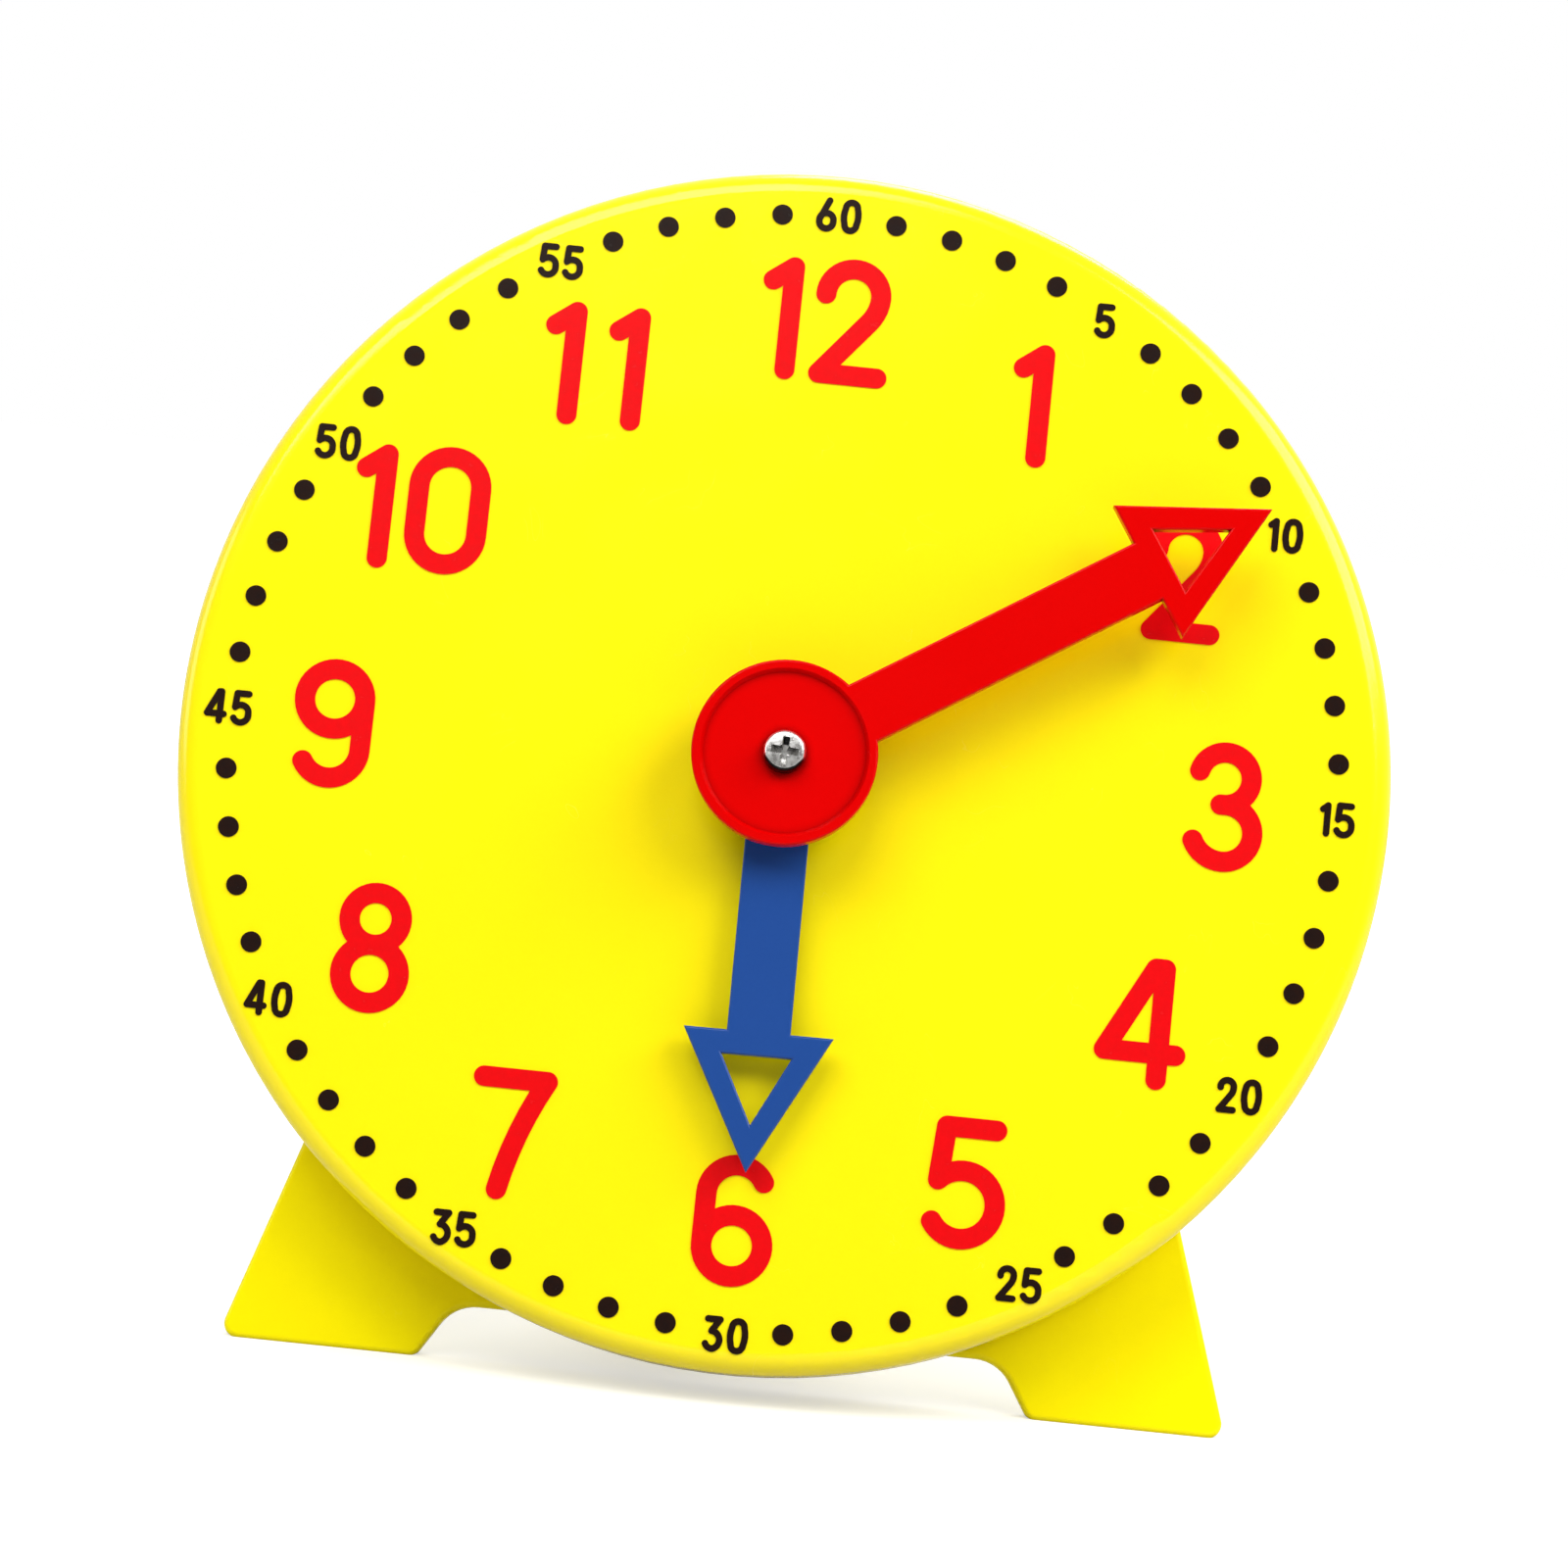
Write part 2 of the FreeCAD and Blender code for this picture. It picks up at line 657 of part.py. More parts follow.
# Strokes of the digits. Both coordinates are shares of the digit's height, measured on the
# strokes' centre lines; two points make a straight stroke and three points an arc.
SIX_SHARES = [
    ((0.505, 0.865), (0.201, 0.991), (0, 0.729)),
    ((0, 0.729), (0, 0.275)),
    ((0, 0.275), (0.274, 0.549), (0.548, 0.275)),
    ((0.548, 0.275), (0.274, 0.001), (0, 0.275)),
]
SIX_WIDTH_SHARE = 0.548
HOUR_STROKE_SHARES = {
    "0": [
        ((0, 0.717), (0.283, 1), (0.567, 0.717)),
        ((0.567, 0.717), (0.567, 0.283)),
        ((0.567, 0.283), (0.283, 0), (0, 0.283)),
        ((0, 0.283), (0, 0.717)),
    ],
    "1": [((0, 0.827), (0.184, 0.965)), ((0.184, 0.965), (0.184, 0))],
    "2": [
        ((0, 0.747), (0.253, 1), (0.506, 0.747)),
        ((0.506, 0.747), (0.481, 0.62), (0.419, 0.513)),
        ((0.419, 0.513), (0, 0)),
        ((0, 0), (0.536, 0)),
    ],
    "3": [
        ((0.023, 0.814), (0.257, 1), (0.497, 0.76)),
        ((0.497, 0.76), (0.427, 0.59), (0.257, 0.52)),
        ((0.235, 0.52), (0.285, 0.521)),
        ((0.285, 0.521), (0.546, 0.261), (0.285, 0)),
        ((0.285, 0), (0.121, 0.049), (0.011, 0.174)),
    ],
    "4": [
        ((0.489, 0), (0.489, 1)),
        ((0.489, 1), (0.406, 1)),
        ((0.406, 1), (0, 0.233)),
        ((0, 0.233), (0.644, 0.233)),
    ],
    "5": [
        ((0.511, 1), (0.061, 1)),
        ((0.061, 1), (0.026, 0.515)),
        ((0.026, 0.515), (0.365, 0.59), (0.556, 0.306)),
        ((0.556, 0.306), (0.25, 0), (0, 0.139)),
    ],
    "6": SIX_SHARES,
    "7": [((0, 1), (0.575, 1)), ((0.575, 1), (0.363, 0.525), (0.218, 0))],
    "8": [
        ((0.033, 0.764), (0.269, 1), (0.505, 0.764)),
        ((0.505, 0.764), (0.269, 0.528), (0.033, 0.764)),
        ((0.005, 0.264), (0.269, 0.528), (0.533, 0.264)),
        ((0.533, 0.264), (0.269, 0), (0.005, 0.264)),
    ],
    "9": [[(SIX_WIDTH_SHARE - x, 1 - z) for x, z in stroke] for stroke in SIX_SHARES],
}
MINUTE_STROKE_SHARES = dict(HOUR_STROKE_SHARES)
MINUTE_STROKE_SHARES["0"] = [
    ((0.05, 0.8), (0.283, 1), (0.517, 0.8)),
    ((0.517, 0.8), (0.567, 0.5), (0.517, 0.2)),
    ((0.517, 0.2), (0.283, 0), (0.05, 0.2)),
    ((0.05, 0.2), (0, 0.5), (0.05, 0.8)),
]
MINUTE_STROKE_SHARES["3"] = [
    ((0.03, 1), (0.5, 1)),
    ((0.5, 1), (0.2, 0.6)),
    ((0.2, 0.6), (0.53, 0.3), (0.27, 0)),
    ((0.27, 0), (0.12, 0.04), (0, 0.16)),
]
MINUTE_STROKE_SHARES["6"] = [
    ((0.34, 1), (0.03, 0.38)),
    ((0, 0.275), (0.274, 0.549), (0.548, 0.275)),
    ((0.548, 0.275), (0.274, 0.001), (0, 0.275)),
]


# How far each number stands from its even place on its ring, to the right and up the dial, as
# shares of its digits' height.
HOUR_NUDGE_SHARES = {
    1: (-0.12, -0.01), 2: (-0.05, 0.03), 3: (-0.04, 0.04), 4: (-0.06, 0.08),
    5: (-0.01, -0.01), 6: (-0.01, 0), 7: (-0.06, 0.01), 8: (0.01, 0.04),
    9: (-0.04, -0.03), 10: (-0.01, -0.04), 11: (-0.07, -0.05), 12: (-0.03, 0.02),
}
MINUTE_NUDGE_SHARES = {
    5: (0, -0.12), 10: (-0.08, 0.09), 15: (0.01, 0.11), 20: (0.09, 0.03),
    25: (0.24, 0.01), 30: (0.07, -0.1), 35: (0.08, -0.07), 40: (-0.09, -0.05),
    45: (-0.07, 0.09), 50: (0.07, -0.03), 55: (0.06, 0.03), 60: (-0.03, 0.06),
}


def stroke_solid(points, width):
    """One printed stroke with round ends, straight or bent to an arc through three points."""
    half = width / 2
    first, last = points[0], points[-1]
    if len(points) == 2:
        run = last - first
        side = Vector(-run.z, 0, run.x).normalize() * half
        ahead = Vector(run).normalize() * half
        edges = [
            Part.LineSegment(first + side, last + side).toShape(),
            Part.Arc(last + side, last + ahead, last - side).toShape(),
            Part.LineSegment(last - side, first - side).toShape(),
            Part.Arc(first - side, first - ahead, first + side).toShape(),
        ]
        return extrude_edges(edges, 0, -print_thickness)
    curve = Part.Arc(*points).toShape().Curve
    centre, radius = curve.Center, curve.Radius

    def around(point, distance):
        return centre + (point - centre).normalize() * distance

    def cap_top(point, neighbour):
        away = Vector(-(point - centre).z, 0, (point - centre).x).normalize() * half
        if away.dot(point - neighbour) < 0:
            away = -away
        return point + away

    outer = [around(point, radius + half) for point in points]
    inner = [around(point, radius - half) for point in points]
    edges = [
        Part.Arc(*outer).toShape(),
        Part.Arc(outer[2], cap_top(last, points[1]), inner[2]).toShape(),
        Part.Arc(*inner).toShape(),
        Part.Arc(inner[0], cap_top(first, points[1]), outer[0]).toShape(),
    ]
    return extrude_edges(edges, 0, -print_thickness)


def digit_solid(strokes, height, squeeze, width):
    """One printed digit with its strokes' lower left corner at the origin."""
    pieces = []
    for stroke in strokes:
        points = [Vector(x * height * squeeze, 0, z * height) for x, z in stroke]
        pieces.append(stroke_solid(points, width))
    return fuse_all(pieces)


def numeral(text, table, height, squeeze, width, gap, x, z):
    """The digits of one number, centred at x and z."""
    digits = [digit_solid(table[character], height, squeeze, width) for character in text]
    spans = [digit.BoundBox.XLength for digit in digits]
    left = x - (sum(spans) + gap * (len(digits) - 1)) / 2
    for digit, span in zip(digits, spans):
        digit.translate(Vector(left - digit.BoundBox.XMin, 0, z - height / 2))
        left += span + gap
    return digits


def ring_place(radius, minutes):
    """A place on one of the printed rings, as x and z, for a number of minutes past twelve."""
    angle = math.radians(6 * minutes)
    across = radius * math.sin(angle)
    upward = radius * print_stretch_share * math.cos(angle)
    return print_shift_right + across, print_shift_up + upward


def nudged(place, nudge_shares, height):
    """A place moved by shares of a digit's height to the right and up."""
    right_share, up_share = nudge_shares
    return place[0] + right_share * height, place[1] + up_share * height


def make_hour_numerals():
    """The large red numbers 1 to 12."""
    digits = []
    for hour in range(1, 13):
        x, z = nudged(ring_place(hour_ring_radius, 5 * hour), HOUR_NUDGE_SHARES[hour], hour_digit_height)
        gap = hour_ones_gap if hour == 11 else hour_digit_gap
        digits += numeral(
            str(hour), HOUR_STROKE_SHARES, hour_digit_height, 1, hour_stroke, gap, x, z
        )
    return Part.makeCompound(digits)


def make_minute_numerals():
    """The small black numbers 5 to 60."""
    digits = []
    for minutes in range(5, 61, 5):
        even_place = ring_place(minute_ring_radius, minutes)
        x, z = nudged(even_place, MINUTE_NUDGE_SHARES[minutes], minute_digit_height)
        digits += numeral(
            str(minutes), MINUTE_STROKE_SHARES, minute_digit_height, minute_squeeze_share,
            minute_stroke, minute_digit_gap, x, z
        )
    return Part.makeCompound(digits)


def make_minute_dots():
    """The 48 dots between the minute numbers."""
    dots = []
    for minutes in range(60):
        if minutes % 5:
            x, z = ring_place(minute_ring_radius, minutes)
            dots.append(disc(dot_radius, -print_thickness, 0, x, z))
    return Part.makeCompound(dots)


def build_nodes():
    """Every piece of the clock in the dial's frame, by node name."""
    return {
        "dial_casing": make_dial_casing(),
        "back_cover": make_back_cover(),
        "stand_plate": make_stand_plate(),
        "case_screws": make_case_screws(),
        "hour_numerals": make_hour_numerals(),
        "minute_numerals": make_minute_numerals(),
        "minute_dots": make_minute_dots(),
        "wheel_axle": make_wheel_axle(),
        "dial_washer": ring_washer(dial_washer_front, hour_tube_radius + washer_clearance),
        "hand_washer": ring_washer(hand_washer_front, arbor_radius + washer_clearance),
        "arbor_washer": ring_washer(back_washer_front, journal_radius + washer_clearance),
        "minute_arbor": make_minute_arbor(),
        "minute_hand": make_minute_hand(),
        "hand_screw": make_hand_screw(),
        "hour_wheel": make_hour_wheel(),
        "hour_hand": make_hour_hand(),
        "intermediate_gear": make_intermediate_gear(),
        "prop_leg": make_prop_leg(),
        "hinge_pin": make_hinge_pin(),
    }


def lean_back(nodes):
    """The nodes leaned back and stood on z = 0, with the origin under the middle of the clock."""
    for shape in nodes.values():
        shape.rotate(ORIGIN, X_AXIS, -lean_deg)
    box = Part.makeCompound(list(nodes.values())).optimalBoundingBox(False, False)
    sole = Vector(0, case_back, -sole_drop)
    shift = Vector(0, -box.Center.y, -FreeCAD.Rotation(X_AXIS, -lean_deg).multVec(sole).z)
    for shape in nodes.values():
        shape.translate(shift)
    return shift


def print_places(shift):
    """The joints' places and the clock's main sizes, for the record."""
    turn = FreeCAD.Rotation(X_AXIS, -lean_deg)
    places = {
        "arbor axis": ORIGIN,
        "intermediate axis": Vector(0, 0, -gear_centre_distance),
        "hinge axis": Vector(0, hinge_y, hinge_height),
        "sole": Vector(0, case_back + plate_thickness / 2, -sole_drop),
    }
    for name, place in places.items():
        print(name, turn.multVec(place) + shift)
    print("inward normal", turn.multVec(Y_AXIS))


def main():
    """Build, lean and export every piece."""
    nodes = build_nodes()
    shift = lean_back(nodes)
    for name, shape in nodes.items():
        box = shape.BoundBox
        print(name, len(shape.Solids), "solids", round(shape.Volume, 1), "mm3 valid", shape.isValid(),
              [round(value, 2) for value in (box.XMin, box.XMax, box.YMin, box.YMax, box.ZMin, box.ZMax)])
        shape.exportStep("parts/" + name + ".step")
    print_places(shift)


main()
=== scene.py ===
"""Looks of the geared teaching clock: screws, materials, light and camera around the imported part.

Everything is in metres in the part's own frame. The dial's frame (right, up the dial, outward)
is read from the minute hand's joint, which stands on the dial's front face.
"""

import json
import math

import bmesh
import bpy
from mathutils import Matrix, Vector


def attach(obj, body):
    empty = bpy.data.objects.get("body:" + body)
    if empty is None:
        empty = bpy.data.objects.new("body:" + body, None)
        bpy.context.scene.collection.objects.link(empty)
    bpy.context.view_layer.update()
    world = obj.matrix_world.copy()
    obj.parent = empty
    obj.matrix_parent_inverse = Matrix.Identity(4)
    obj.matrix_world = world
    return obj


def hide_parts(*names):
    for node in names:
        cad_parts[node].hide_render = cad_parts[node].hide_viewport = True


MM = 0.001

# Camera, in the pixels of a square photograph
PHOTO_PX = 1600
FOCAL_PX = 5134.0
DIAL_CENTRE_PX = (800.5, 778.5)
CAMERA_DISTANCE = 413 * MM
CAMERA_PITCH_DEG = 8.0
CAMERA_YAW_DEG = -0.65
CAMERA_ROLL_DEG = 5.86
CAMERA_CLIP_START = 10 * MM
SENSOR_WIDTH = 36.0

# Colours, as linear red, green and blue
YELLOW = (0.98, 0.82, 0.002)
YELLOW_DEEP = (0.96, 0.79, 0.0015)
# The stand's yellow is partly its own, less blue than the dial's, and partly painted light: its green is raised so
# the feet, which get less light behind the casing, come out brighter.
STAND_YELLOW = (0.98, 0.855, 0.0006)
STAND_YELLOW_DEEP = (0.95, 0.82, 0.0005)
RED_PLASTIC = (0.66, 0.0002, 0.0003)
RED_PLASTIC_DEEP = (0.62, 0.0002, 0.0002)
BLUE_PLASTIC = (0.0155, 0.066, 0.28)
BLUE_PLASTIC_DEEP = (0.013, 0.059, 0.255)
RED_INK = (0.76, 0.0025, 0.005)
RED_INK_DEEP = (0.71, 0.002, 0.004)
BLACK_INK = (0.016, 0.006, 0.004)
BLACK_INK_DEEP = (0.010, 0.004, 0.003)
NICKEL = (0.82, 0.81, 0.79)
ZINC = (0.62, 0.63, 0.65)
ZINC_WARM = (0.66, 0.62, 0.50)
ACETAL = (0.82, 0.82, 0.79)
ACETAL_DEEP = (0.76, 0.76, 0.72)
NYLON = (0.78, 0.77, 0.70)
NYLON_DEEP = (0.71, 0.69, 0.60)
# The dark colour of the painted shade on the metal screws.
PAINTED_SHADE_DARK = (0.012, 0.012, 0.013)
BLACK = (0.0, 0.0, 0.0)
WHITE = (1, 1, 1)
AMBIENT = (1.0, 0.97, 0.93)
FLOOR_COLOUR = (0.55, 0.55, 0.55)

# Grain of the plastics; the heights are in units of the peel's depth
PLASTIC_CLOUD_SIZE = 24 * MM
PIGMENT_SIZE = 0.25 * MM
PIGMENT_SHARE = 0.35
PEEL_SIZE = 0.45 * MM
BACK_PEEL_SIZE = 0.3 * MM
SWELL_SIZE = 6 * MM
SWELL_HEIGHT = 3.0
SCRATCH_SIZE = 9 * MM
SCRATCH_SHARE = 0.42
SCRATCH_WIDTH = 0.0035
SCRATCH_HEIGHT = 0.5
SCRATCH_ROUGHNESS = 0.18
GLOSS_PATCH_SIZE = 11 * MM
# How far the painted shade in plastic corners reaches.
PLASTIC_CREVICE_REACH = 0.8 * MM

# Grain of the ink and of the metal
INK_MOTTLE_SIZE = 0.6 * MM
INK_FILM_SIZE = 0.18 * MM
INK_FILM_DEPTH = 2.5e-6
METAL_CLOUD_SIZE = 1.4 * MM
METAL_MARK_SIZE = 0.5 * MM
METAL_MARK_DEPTH = 30e-6
# How far the painted shade reaches in metal crevices; the samples serve the painted shade of both metal and
# plastic.
METAL_CREVICE_REACH = 1.1 * MM
CREVICE_SAMPLES = 8
# Cosines over which the painted shade and dark reflection grow on the side of a metal that faces one direction.
DARK_SIDE_EDGE_COSINE = 0.14
DARK_SIDE_CORE_COSINE = 0.32

# Studio
WORLD_STRENGTH = 0.13
ROOM_DIRECTION = (0, -1, 0)
ROOM_EDGE_COSINE = -0.6
ROOM_CORE_COSINE = 0.6
FLOOR_SIZE = 8.0
FLOOR_GLOW = 0.55
FLOOR_MIRRORED = 0.3
SHADOW_REACH = 0.12
WHITE_REACH = 0.45
LIGHT_DISTANCE = 1.2

# Lamps: name, azimuth and elevation in degrees, width and height in metres, and power in watts
LAMPS = (
    ("right_lamp", 58, 40, 1.2, 0.6, 14.1),
    ("front_lamp", -25, 48, 0.85, 0.65, 9.9),
    ("left_lamp", -85, 15, 0.5, 0.5, 2.2),
    ("back_lamp", 165, 55, 0.6, 0.6, 7),
)

# Screws
SCREW_SEGMENTS = 64
SCREW_SHARP_EDGE_DEG = 32
HEAD_DOME_STEPS = 4
HEAD_ROUNDING_STEPS = 10
HEAD_CROWN_SHARE = 0.8
HEAD_DOME_SHARE = 0.05
HEAD_ROUNDING_SHARE = 0.4
HEAD_FOOT_SHARE = 0.08
RECESS_REACH_SHARE = 0.8
RECESS_HALF_WIDTH_SHARE = 0.21
RECESS_POINT_SHARE = 0.38
RECESS_POINT_TIP_SHARE = 0.3
RECESS_POINT_SEGMENTS = 24
RECESS_TOP_SHARE = 1.3
RECESS_FLOOR_SHARE = 0.25
RECESS_TAPER_SHARE = 0.42
THREAD_ROWS_PER_TURN = 6
THREAD_CORE_SHARE = 0.8
THREAD_CREST_SHARE = 0.2
THREAD_SHARPNESS = 3.2
TIP_LENGTH_SHARE = 0.8
TIP_RADIUS_SHARE = 0.55
HAND_SCREW_HEAD_HEIGHT = 1.4 * MM
HAND_SCREW_SHANK_RADIUS = 1.0 * MM
HAND_SCREW_THREAD_PITCH = 0.4 * MM
HAND_SCREW_TURN_DEG = 4.0
CASE_SCREW_HEAD_HEIGHT = 1.3 * MM
CASE_SCREW_SHANK_RADIUS = 1.1 * MM
CASE_SCREW_THREAD_PITCH = 0.8 * MM
CASE_SCREW_REACH = 6 * MM
CASE_SCREW_TURN_STEP_DEG = 37

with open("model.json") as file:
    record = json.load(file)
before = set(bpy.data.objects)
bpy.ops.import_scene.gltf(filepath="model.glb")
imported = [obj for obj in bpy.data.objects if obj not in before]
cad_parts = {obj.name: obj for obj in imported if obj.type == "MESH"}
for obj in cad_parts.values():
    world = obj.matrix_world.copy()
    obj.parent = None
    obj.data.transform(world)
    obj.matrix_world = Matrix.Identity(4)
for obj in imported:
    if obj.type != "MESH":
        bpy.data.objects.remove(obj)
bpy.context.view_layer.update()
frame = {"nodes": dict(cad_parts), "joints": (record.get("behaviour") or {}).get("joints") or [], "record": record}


def dial_frame():
    """The dial's centre and its right, up and outward directions."""
    joint = next(joint for joint in frame["joints"] if joint["name"] == "minute_turn")
    outward = -Vector(joint["axis"]).normalized()
    right = Vector((1, 0, 0))
    return Vector(joint["pos_m"]), right, outward.cross(right), outward


CENTRE, RIGHT, UP, OUTWARD = dial_frame()


def from_columns(x, y, z, place):
    """A matrix with these axes and this place."""
    matrix = Matrix((x, y, z)).transposed().to_4x4()
    matrix.translation = place
    return matrix


def new_object(name, data):
    """A new object in the scene."""
    made = bpy.data.objects.new(name, data)
    bpy.context.scene.collection.objects.link(made)
    return made


def new_mesh(name, made):
    """A mesh from a finished construction."""
    mesh = bpy.data.meshes.new(name)
    made.to_mesh(mesh)
    made.free()
    return mesh


# Shader helpers


def add_node(tree, kind, sockets=None, **settings):
    """A node whose inputs are set to values or linked to other nodes' outputs."""
    made = tree.nodes.new(kind)
    for name, value in settings.items():
        setattr(made, name, value)
    for key, value in (sockets or {}).items():
        if isinstance(value, bpy.types.NodeSocket):
            tree.links.new(value, made.inputs[key])
        else:
            made.inputs[key].default_value = value
    return made


def math_node(tree, operation, first, second=0.0):
    """The output of one arithmetic node."""
    return add_node(tree, "ShaderNodeMath", {0: first, 1: second}, operation=operation).outputs[0]


def noise(tree, place, grain_size, detail=2.0, roughness=0.5, distortion=0.0):
    """Noise whose grain has about this size in metres."""
    sockets = {
        "Vector": place,
        "Scale": 1 / grain_size,
        "Detail": detail,
        "Roughness": roughness,
        "Distortion": distortion,
    }
    return add_node(tree, "ShaderNodeTexNoise", sockets).outputs[0]


def spread(tree, value, low, high, to_low, to_high):
    """A value mapped from one range to another and held inside it."""
    sockets = {"Value": value, "From Min": low, "From Max": high, "To Min": to_low, "To Max": to_high}
    return add_node(tree, "ShaderNodeMapRange", sockets, clamp=True).outputs[0]


def mix_colour(tree, share, first, second):
    """A colour between two others."""
    made = add_node(tree, "ShaderNodeMix", data_type="RGBA")
    for socket, value in ((made.inputs[0], share), (made.inputs[6], first), (made.inputs[7], second)):
        if isinstance(value, bpy.types.NodeSocket):
            tree.links.new(value, socket)
        elif isinstance(value, tuple):
            socket.default_value = (*value, 1)
        else:
            socket.default_value = value
    return made.outputs[2]


def new_material(name):
    """A node material with its tree, its Principled shader and object coordinates."""
    material = bpy.data.materials.new(name)
    material.use_nodes = True
    tree = material.node_tree
    shader = tree.nodes["Principled BSDF"]
    place = add_node(tree, "ShaderNodeTexCoord").outputs["Object"]
    return material, tree, shader, place


def facing(tree, direction):
    """The cosine between the surface's normal, in the piece's own frame, and a direction."""
    normal = add_node(tree, "ShaderNodeTexCoord").outputs["Normal"]
    sockets = {0: normal, 1: direction}
    return add_node(tree, "ShaderNodeVectorMath", sockets, operation="DOT_PRODUCT").outputs["Value"]


def hairlines(tree, place):
    """A mask of fine, sparse scratches: thin contours of a twisted noise, inside larger patches."""
    field = noise(tree, place, SCRATCH_SIZE, detail=3.0, roughness=0.55, distortion=1.2)
    away = math_node(tree, "ABSOLUTE", math_node(tree, "SUBTRACT", field, 0.5))
    line = spread(tree, away, 0.0, SCRATCH_WIDTH, 1.0, 0.0)
    patch_field = noise(tree, place, SCRATCH_SIZE * 0.7)
    patch = spread(tree, patch_field, 1 - SCRATCH_SHARE, 1.05 - SCRATCH_SHARE, 0.0, 1.0)
    return math_node(tree, "MULTIPLY", line, patch)


def openness(tree, reach):
    """1 on open surface and less in corners, judged within this reach."""
    sockets = {"Distance": reach}
    return add_node(tree, "ShaderNodeAmbientOcclusion", sockets, samples=CREVICE_SAMPLES).outputs["AO"]


def finish_shader(tree, shader, tone, gloss, height, depth):
    """Links a finish's colour, roughness and surface relief to its shader."""
    sockets = {"Strength": 1.0, "Distance": depth, "Height": height}
    bump = add_node(tree, "ShaderNodeBump", sockets)
    tree.links.new(tone, shader.inputs["Base Color"])
    tree.links.new(gloss, shader.inputs["Roughness"])
    tree.links.new(bump.outputs[0], shader.inputs["Normal"])


# Materials


def moulded_plastic(
    name, colours, roughness, specular, peel_depth, peel_size=PEEL_SIZE, crevice=0.0
):
    """Glossy moulded plastic: orange peel, flow clouds, fine scratches and, if asked, painted shade in its
    corners.
    """
    material, tree, shader, place = new_material(name)
    clouds = noise(tree, place, PLASTIC_CLOUD_SIZE, detail=3.0)
    pigment = noise(tree, place, PIGMENT_SIZE, detail=1.0)
    depth = math_node(tree, "ADD", clouds, math_node(tree, "MULTIPLY", pigment, PIGMENT_SHARE))
    tone = mix_colour(tree, spread(tree, depth, 0.4, 0.95, 0.0, 1.0), *colours)
    # Painted shade: the colour darkens towards black in corners, from ambient occlusion.
    if crevice:
        dark = spread(tree, openness(tree, PLASTIC_CREVICE_REACH), 0.4, 0.95, crevice, 0.0)
        tone = mix_colour(tree, dark, tone, BLACK)
    scratches = hairlines(tree, place)
    peel = noise(tree, place, peel_size, detail=1.0)
    swell = noise(tree, place, SWELL_SIZE, detail=1.0)
    height = math_node(tree, "ADD", math_node(tree, "MULTIPLY", swell, SWELL_HEIGHT), peel)
    scored = math_node(tree, "MULTIPLY", scratches, SCRATCH_HEIGHT)
    height = math_node(tree, "SUBTRACT", height, scored)
    patches = noise(tree, place, GLOSS_PATCH_SIZE, detail=4.0)
    gloss = spread(tree, patches, 0.3, 0.7, roughness * 0.9, roughness * 1.12)
    rough = math_node(tree, "MULTIPLY", scratches, SCRATCH_ROUGHNESS)
    gloss = math_node(tree, "ADD", gloss, rough)
    finish_shader(tree, shader, tone, gloss, height, peel_depth)
    shader.inputs["Specular IOR Level"].default_value = specular
    return material


def printed_ink(name, colours, roughness, specular):
    """A pad-printed film: slightly mottled, with a fine screen in its surface."""
    material, tree, shader, place = new_material(name)
    mottle = noise(tree, place, INK_MOTTLE_SIZE, detail=3.0, roughness=0.6)
    tone = mix_colour(tree, spread(tree, mottle, 0.35, 0.7, 0.0, 1.0), *colours)
    film = noise(tree, place, INK_FILM_SIZE, detail=2.0)
    gloss = spread(tree, mottle, 0.3, 0.7, roughness * 0.85, roughness * 1.15)
    finish_shader(tree, shader, tone, gloss, film, INK_FILM_DEPTH)
    shader.inputs["Specular IOR Level"].default_value = specular
    return material


def plated_metal(name, colours, roughness, crevice, painted_dark_side=None):
    """Plated steel: fine marks, a faint tint, painted shade in its crevices and, if asked, painted shade and dark
    reflection on the side facing one direction.
    """
    material, tree, shader, place = new_material(name)
    cloud = noise(tree, place, METAL_CLOUD_SIZE, detail=3.0)
    tone = mix_colour(tree, spread(tree, cloud, 0.35, 0.65, 0.0, 1.0), *colours)
    # Painted shade: the colour darkens in the recess and crevices, from ambient occlusion.
    painted_shade = spread(tree, openness(tree, METAL_CREVICE_REACH), 0.1, 0.7, crevice, 0.0)
    # Painted shade and dark reflection: the colour darkens where the surface faces the given direction.
    if painted_dark_side is not None:
        turned = facing(tree, painted_dark_side)
        side = spread(tree, turned, DARK_SIDE_EDGE_COSINE, DARK_SIDE_CORE_COSINE, 0.0, 1.0)
        painted_shade = math_node(tree, "MAXIMUM", painted_shade, side)
    tone = mix_colour(tree, painted_shade, tone, PAINTED_SHADE_DARK)
    marks = noise(tree, place, METAL_MARK_SIZE, detail=3.0)
    gloss = spread(tree, marks, 0.25, 0.75, roughness * 0.75, roughness * 1.4)
    finish_shader(tree, shader, tone, gloss, marks, METAL_MARK_DEPTH)
    shader.inputs["Metallic"].default_value = 1.0
    return material


